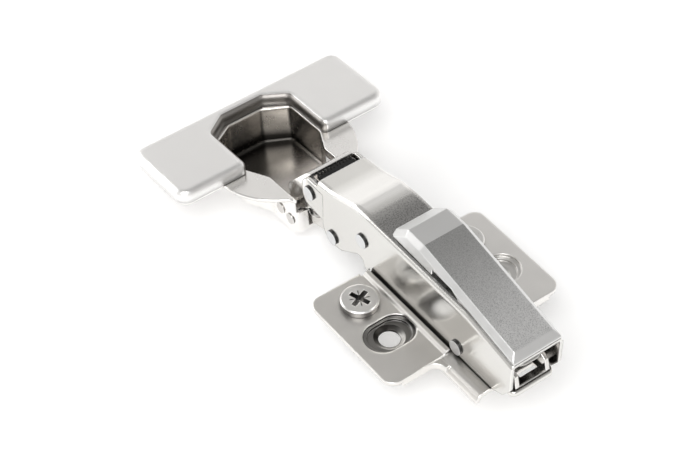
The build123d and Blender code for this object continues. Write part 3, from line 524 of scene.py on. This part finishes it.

# %% [markdown]
# The arm is pressed from thicker sheet and tumbled, so its flat sides have a soft satin and its
# bends are bright. Its colour carries painted light: the crown gets a painted highlight as the
# brightest part, and behind it the level web gets painted shade, dark and grainy. Three masks do
# that: painted shade on the sides, the painted highlight on the crown's top and the painted shade
# on the web behind it, and the web gets a second, darker tint on its highest grains. The walls
# that face the arm's hollow get painted shade too.

# %% Arm finish
ARM_HOLLOW = (-0.005, 0.0, 0.008)
CROWN_FRONT_X = (-0.0350, -0.0300)
CROWN_BACK_X = (-0.0235, -0.0205)
WEB_X = (-0.0228, -0.0155)
LEANS_UP = (0.3, 0.6)
FACES_UP = (0.75, 0.97)
FACES_SIDEWAYS = (0.8, 0.95)

arm_finish = plated("arm_satin", cool=(0.82, 0.81, 0.79), warm=(0.74, 0.73, 0.70), smooth=0.15,
                    rough=0.25, grain=3000.0, depth=0.03, bend=0.0008)
arm_tree = arm_finish.node_tree
place, facing = place_and_facing(arm_tree)
sideways = reckon(arm_tree, "ABSOLUTE", facing["Y"])
crown = product(arm_tree, band_mask(arm_tree, place["X"], CROWN_FRONT_X),
                band_mask(arm_tree, place["X"], CROWN_BACK_X, FULL_TO_NONE))
crown_top = product(arm_tree, band_mask(arm_tree, facing["Z"], LEANS_UP), crown)
web = product(arm_tree, band_mask(arm_tree, place["X"], WEB_X),
              band_mask(arm_tree, facing["Z"], FACES_UP))
# Painted shade on the sideways faces, a painted highlight on the crown's top, painted shade on the web.
tint(arm_finish, band_mask(arm_tree, sideways, FACES_SIDEWAYS), (0.70, 0.69, 0.665))
tint(arm_finish, crown_top, (0.99, 0.98, 0.96))
tint(arm_finish, web, (0.46, 0.455, 0.445))
tint(arm_finish, product(arm_tree, web, grain_tops(arm_finish, (0.46, 0.62))), (0.26, 0.255, 0.25))
# Painted shade on the walls inside the arm's hollow.
paint_inside_shade(arm_finish, ARM_HOLLOW, (0.22, 0.21, 0.20), soft=0.0005)
dress(arm_finish, "hinge_arm")

# %% [markdown]
# The outer link ends in a roll around its rivet, so it gets painted shade where it faces that
# rivet and stays bright outside. The inner link, the lever and the carriage under the arm are the
# same pressed steel, less seen, and plain finishes with tones of their own are enough for them.

# %% Link and lever finishes
ROLL_MIDDLE = (-0.043, 0.0, 0.0087)

roll_finish = plated("roll_satin", cool=(0.80, 0.79, 0.77), warm=(0.72, 0.71, 0.69), smooth=0.2,
                     rough=0.32, grain=2500.0, depth=0.03)
paint_inside_shade(roll_finish, ROLL_MIDDLE, (0.10, 0.095, 0.09), soft=0.0003)
dress(roll_finish, "outer_link")
link_finish = plated("link_satin", cool=(0.74, 0.73, 0.71), warm=(0.64, 0.62, 0.60), smooth=0.2,
                     rough=0.32, grain=2500.0, depth=0.03)
dress(link_finish, "inner_link")
lever_finish = plated("lever_satin", cool=(0.82, 0.81, 0.79), warm=(0.7, 0.68, 0.65), smooth=0.15,
                      rough=0.26, grain=2500.0, depth=0.03)
dress(lever_finish, "latch_lever", "inner_base")

# %% [markdown]
# The long top of the arm cover is blasted to a fine even matt, and its bevels and the level strip
# at its front are left bright. The blasted part slopes a little, so it is told by its lean. Painted
# shade makes it darkest at its front, lightening towards the rear, and dark grains are strewn over
# it.

# %% Cover finish
TOP_FACES_UP = (0.90, 0.96)
TOP_SLOPES_BACK = (0.08, 0.18)

cover_finish = plated("cover_matt", cool=(0.76, 0.76, 0.755), warm=(0.68, 0.68, 0.675), smooth=0.32,
                      rough=0.44, grain=4200.0, depth=0.25, edge=(0.92, 0.92, 0.91), edge_gain=8.0,
                      bend=0.0005)
cover_tree = cover_finish.node_tree
place, facing = place_and_facing(cover_tree)
cover_low, cover_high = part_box("arm_cover_cap")
front_to_rear = (cover_low[0] + 0.010, cover_high[0] - 0.004)
matt_top = product(cover_tree, band_mask(cover_tree, facing["Z"], TOP_FACES_UP),
                   band_mask(cover_tree, facing["X"], TOP_SLOPES_BACK))
front_end = band_mask(cover_tree, place["X"], front_to_rear, FULL_TO_NONE)
grains = grain_tops(cover_finish, (0.45, 0.63), (0.0, 0.45))
tint(cover_finish, matt_top, (0.92, 0.92, 0.915))
# Painted shade at the front end of the matt top.
tint(cover_finish, product(cover_tree, matt_top, front_end), (0.50, 0.50, 0.495))
tint(cover_finish, product(cover_tree, matt_top, grains), (0.20, 0.20, 0.20))
dress(cover_finish, "arm_cover_cap")

# %% [markdown]
# The plate is a little warmer and duller than the arm. The wing on the far side gets painted light,
# lighter than the near one, and the walls of the dished screw holes get painted shade, nearly
# black, most of all in the near wing and on the side towards the cup. The two dishes are alike, so
# one mask serves both: it measures from the dish's middle with the sign of Y taken away. A wider
# reach of the painted corner shade darkens the plate round the screw heads and the arm.

# %% Plate finish
PLATE_TOP = 0.00246
SCREW_Y = 0.016
DISH_MIDDLE = (0.0, SCREW_Y, PLATE_TOP - 0.0008)
DISH_RIM = (0.0071, 0.0076)
BELOW_TOP_Z = (PLATE_TOP - 0.0004, PLATE_TOP - 0.0001)
FAR_WING_Y = (0.006, 0.014)

plate_finish = plated("plate_satin", cool=(0.85, 0.83, 0.80), warm=(0.75, 0.73, 0.70), smooth=0.28,
                      rough=0.4, grain=3000.0, depth=0.08, corner=(0.10, 0.095, 0.09), reach=0.0035,
                      bend=0.0006)
plate_tree = plate_finish.node_tree
place, facing = place_and_facing(plate_tree)
folded = add_node(plate_tree, "ShaderNodeCombineXYZ")
feed(plate_tree, folded, place["X"], reckon(plate_tree, "ABSOLUTE", place["Y"]), place["Z"])
from_dish = reckon_vector(plate_tree, "DISTANCE", folded.outputs["Vector"], DISH_MIDDLE)["Value"]
in_dish = product(plate_tree, band_mask(plate_tree, from_dish, DISH_RIM, FULL_TO_NONE),
                  band_mask(plate_tree, place["Z"], BELOW_TOP_Z, FULL_TO_NONE))
cup_side = band_mask(plate_tree, facing["X"], (-0.5, 0.3), (0.15, 1.0))
near_wing = band_mask(plate_tree, place["Y"], (-0.002, 0.002), (1.0, 0.35))
dish_wall = product(plate_tree, product(plate_tree, in_dish, cup_side), near_wing)
# Painted light on the far wing, painted shade on the walls of the dished holes.
tint(plate_finish, band_mask(plate_tree, place["Y"], FAR_WING_Y, (0.0, 0.7)), (0.98, 0.965, 0.94))
tint(plate_finish, dish_wall, (0.03, 0.028, 0.026))
dress(plate_finish, "mounting_plate")

# %% [markdown]
# The screws are pressed from wire, brighter than the plate, with painted shade on their sides and in
# their slots.
# Between the arms of each cross there is a fine radial tick. The cosine of four times the angle
# round the screw is one along each tick, so it makes the mask.

# %% Screw finish
SCREW_X = -0.0115
TICK_TURN = radians(65)
TICK_REACH = (0.0021, 0.0027)
TICK_EDGE = (0.93, 0.99)
HEAD_SIDE = (0.25, 0.70)

screw_finish = plated("screw_satin", cool=(0.90, 0.89, 0.87), warm=(0.80, 0.79, 0.77), smooth=0.26,
                      rough=0.38, grain=3000.0, depth=0.06, corner=(0.04, 0.038, 0.035), reach=0.003)
screw_tree = screw_finish.node_tree
place, facing = place_and_facing(screw_tree)
along = reckon(screw_tree, "SUBTRACT", place["X"], SCREW_X)
across = reckon(screw_tree, "SUBTRACT", reckon(screw_tree, "ABSOLUTE", place["Y"]), SCREW_Y)
around = reckon(screw_tree, "ARCTAN2", across, along)
wave = reckon(screw_tree, "COSINE", reckon(screw_tree, "MULTIPLY_ADD", around, 4.0, 4.0 * TICK_TURN))
flat_place = add_node(screw_tree, "ShaderNodeCombineXYZ")
feed(screw_tree, flat_place, along, across)
from_middle = reckon_vector(screw_tree, "LENGTH", flat_place.outputs["Vector"])["Value"]
ticks = product(screw_tree, band_mask(screw_tree, wave, TICK_EDGE),
                band_mask(screw_tree, from_middle, TICK_REACH, FULL_TO_NONE))
# Painted shade on the sides of the heads.
tint(screw_finish, band_mask(screw_tree, facing["Z"], HEAD_SIDE, FULL_TO_NONE), (0.20, 0.195, 0.19))
tint(screw_finish, ticks, (0.10, 0.096, 0.09))
dress(screw_finish, "euro_screws", "side_screw", "depth_cam")

# %% [markdown]
# The flat rivet heads on the arm's side are a shade greyer and duller than the arm, and each has a
# rim of painted shade, which sets it off. The rim is wherever the head no longer faces straight
# sideways.

# %% Rivet finish
HEAD_EDGE = (0.35, 0.8)

rivet_finish = plated("rivet_satin", cool=(0.73, 0.735, 0.74), warm=(0.65, 0.655, 0.66), smooth=0.32,
                      rough=0.42, grain=3000.0, depth=0.04, edge=(0.7, 0.7, 0.7), edge_gain=0.5)
rivet_tree = rivet_finish.node_tree
place, facing = place_and_facing(rivet_tree)
head_facing = reckon(rivet_tree, "ABSOLUTE", facing["Y"])
# Painted shade on the rim of each head.
tint(rivet_finish, band_mask(rivet_tree, head_facing, HEAD_EDGE, FULL_TO_NONE), (0.06, 0.06, 0.06))
dress(rivet_finish, "arm_pivot_rivet", "link_pivot_rivet", "spring_rivet", "latch_rivet")

# %% [markdown]
# Pins and springs are drawn wire, darker than the sheet. Drawing leaves lines along a pin, and
# nearly all of these pins lie across the hinge, so their grain is stretched along Y by squeezing
# the noise less in that direction than in the other two. The damper's rod lies the other way, but
# it is hidden in the arm, so it shares their finish.

# %% Pin and spring finishes
ALONG_Y = (1.0, 0.1, 1.0)

pin_finish = plated("pin_bright", cool=(0.7, 0.68, 0.66), warm=(0.58, 0.56, 0.54), smooth=0.15,
                    rough=0.28, grain=2500.0, stretch=ALONG_Y, depth=0.04)
dress(pin_finish, "cup_pin_outer", "cup_pin_inner", "front_hook_bar", "damper_rod")
spring_finish = plated("spring_wire", cool=(0.55, 0.54, 0.52), warm=(0.42, 0.41, 0.39), smooth=0.2,
                       rough=0.34, grain=3500.0, depth=0.05)
dress(spring_finish, "closing_springs", "latch_spring")

# %% [markdown]
# The soft-close slider is black moulded plastic, seen as a toothed strip in the slot in front of
# the arm. Plastic isn't metal, so it gets its own short material: a fine moulded texture, and a
# roughness that drifts a little.


# %% Plastic finishes
def moulded(name, dark, light, smooth, rough):
    finish, tree, plastic = new_material(name)
    plastic.inputs["Specular IOR Level"].default_value = 0.2
    tone = use_group(tree, tone_group, {"Cool": (*dark, 1), "Warm": (*light, 1), "Scale": 400.0})
    skin = use_group(tree, grain_group, {"Scale": 3500.0, "Smooth": smooth, "Rough": rough})
    tree.links.new(tone.outputs["Color"], plastic.inputs["Base Color"])
    raise_grain(tree, plastic, skin, depth=0.2)
    return finish


slider_finish = moulded("slider_black", dark=(0.006, 0.006, 0.006), light=(0.018, 0.018, 0.018),
                        smooth=0.4, rough=0.55)
dress(slider_finish, "damper_slider")
damper_finish = moulded("damper_grey", dark=(0.22, 0.22, 0.22), light=(0.3, 0.3, 0.3),
                        smooth=0.35, rough=0.5)
dress(damper_finish, "damper_cylinder")

# %% [markdown]
# The slider's front edge is a comb: a row of short teeth that fills the slot between the arm and
# the roll of the outer link. The CAD solid carries the slider's block. This piece takes its
# place with the comb brought forward into the slot, each tooth with a blunt tapered tip.

# %% The toothed slider
TOOTH_ROOT_X = -0.0420
TOOTH_TIP_X = -0.0433
TEETH = 11
TOOTH_GAP = 0.00028
SOFT_EDGE = 0.00008
SAME_PLACE = 1e-7


def mesh_of(name, bm):
    """Turn every face outwards and keep the result as a mesh."""
    bmesh.ops.recalc_face_normals(bm, faces=bm.faces)
    mesh = bpy.data.meshes.new(name)
    bm.to_mesh(mesh)
    bm.free()
    return mesh


def comb(name, back_x, half_y, low_z, high_z):
    """A flat block along X with a row of tapered teeth on its front edge."""
    pitch = 2 * half_y / TEETH
    outline = [(back_x, -half_y)]
    for tooth in range(TEETH):
        start = -half_y + pitch * tooth
        outline += [(TOOTH_ROOT_X, start),
                    (TOOTH_ROOT_X, start + TOOTH_GAP / 2),
                    (TOOTH_TIP_X, start + TOOTH_GAP),
                    (TOOTH_TIP_X, start + pitch - TOOTH_GAP),
                    (TOOTH_ROOT_X, start + pitch - TOOTH_GAP / 2)]
    outline += [(TOOTH_ROOT_X, half_y), (back_x, half_y)]
    bm = bmesh.new()
    floor_ring = [bm.verts.new((x, y, low_z)) for x, y in outline]
    top_ring = [bm.verts.new((x, y, high_z)) for x, y in outline]
    for i in range(len(outline)):
        j = (i + 1) % len(outline)
        bm.faces.new((floor_ring[i], floor_ring[j], top_ring[j], top_ring[i]))
    bm.faces.new(list(reversed(floor_ring)))
    bm.faces.new(top_ring)
    bmesh.ops.remove_doubles(bm, verts=bm.verts, dist=SAME_PLACE)
    return mesh_of(name, bm)


low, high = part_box("damper_slider")
slider_mesh = comb("damper_slider_comb", back_x=high[0], half_y=high[1], low_z=low[2], high_z=high[2])
slider = add_object("damper_slider_comb", slider_mesh)
soften = slider.modifiers.new("soft_edges", "BEVEL")
soften.width = SOFT_EDGE
soften.segments = 2
slider.data.materials.append(slider_finish)
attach(slider, "damper")
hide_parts("damper_slider")
print("slider teeth from", round(low[1] * 1000, 2), "to", round(high[1] * 1000, 2), "mm")

# %% [markdown]
# Each euro screw has a coarse thread for the 5 mm system holes. A thread is a ridge wound round
# the shank, so it is swept as one: a small four-sided section carried round and down a helix. It
# stands a little way inside the shank, so that no gap shows at its foot, and it grows thin over
# its first and last turn, where the tap runs out.

# %% The coarse threads
SHANK_RADIUS = 0.0031
THREAD_HEIGHT = 0.00042
THREAD_PITCH = 0.0017
THREAD_TOP_Z = -0.0006
TIP_LENGTH = 0.0024
FOOT_SINK = 0.00004
THINNEST = 0.02
STEPS = 28


def thread(name, centre, low_z):
    """The ridge as a row of four-sided rings; each point's rise is a share of the pitch."""
    total = int((THREAD_TOP_Z - low_z) / THREAD_PITCH * STEPS)
    foot = SHANK_RADIUS - FOOT_SINK
    bm = bmesh.new()
    rings = []
    for i in range(total + 1):
        angle = 2 * pi * i / STEPS
        z = THREAD_TOP_Z - THREAD_PITCH * i / STEPS
        run_out = min(1.0, i / STEPS, (total - i) / STEPS)
        crest = SHANK_RADIUS + THREAD_HEIGHT * max(THINNEST, run_out)
        ring = []
        for radius, rise in ((foot, 0.34), (crest, 0.06), (crest, -0.06), (foot, -0.34)):
            x = centre[0] + radius * cos(angle)
            y = centre[1] + radius * sin(angle)
            ring.append(bm.verts.new((x, y, z + rise * THREAD_PITCH)))
        rings.append(ring)
    for above, below in zip(rings[:-1], rings[1:]):
        for i in range(len(above)):
            j = (i + 1) % len(above)
            bm.faces.new((above[i], above[j], below[j], below[i]))
    bm.faces.new(rings[0])
    bm.faces.new(list(reversed(rings[-1])))
    return mesh_of(name, bm)


screw_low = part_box("euro_screws")[0]
for side, label in ((-1, "near"), (1, "far")):
    ridge_name = "euro_thread_" + label
    ridge_mesh = thread(ridge_name, (SCREW_X, side * SCREW_Y), screw_low[2] + TIP_LENGTH)
    ridge = add_object(ridge_name, ridge_mesh)
    ridge.data.materials.append(screw_finish)
    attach(ridge, "arm")
    print(ridge.name, "has", len(ridge.data.polygons), "faces")

# %% [markdown]
# At the end the view layer is brought up to date.

bpy.context.view_layer.update()
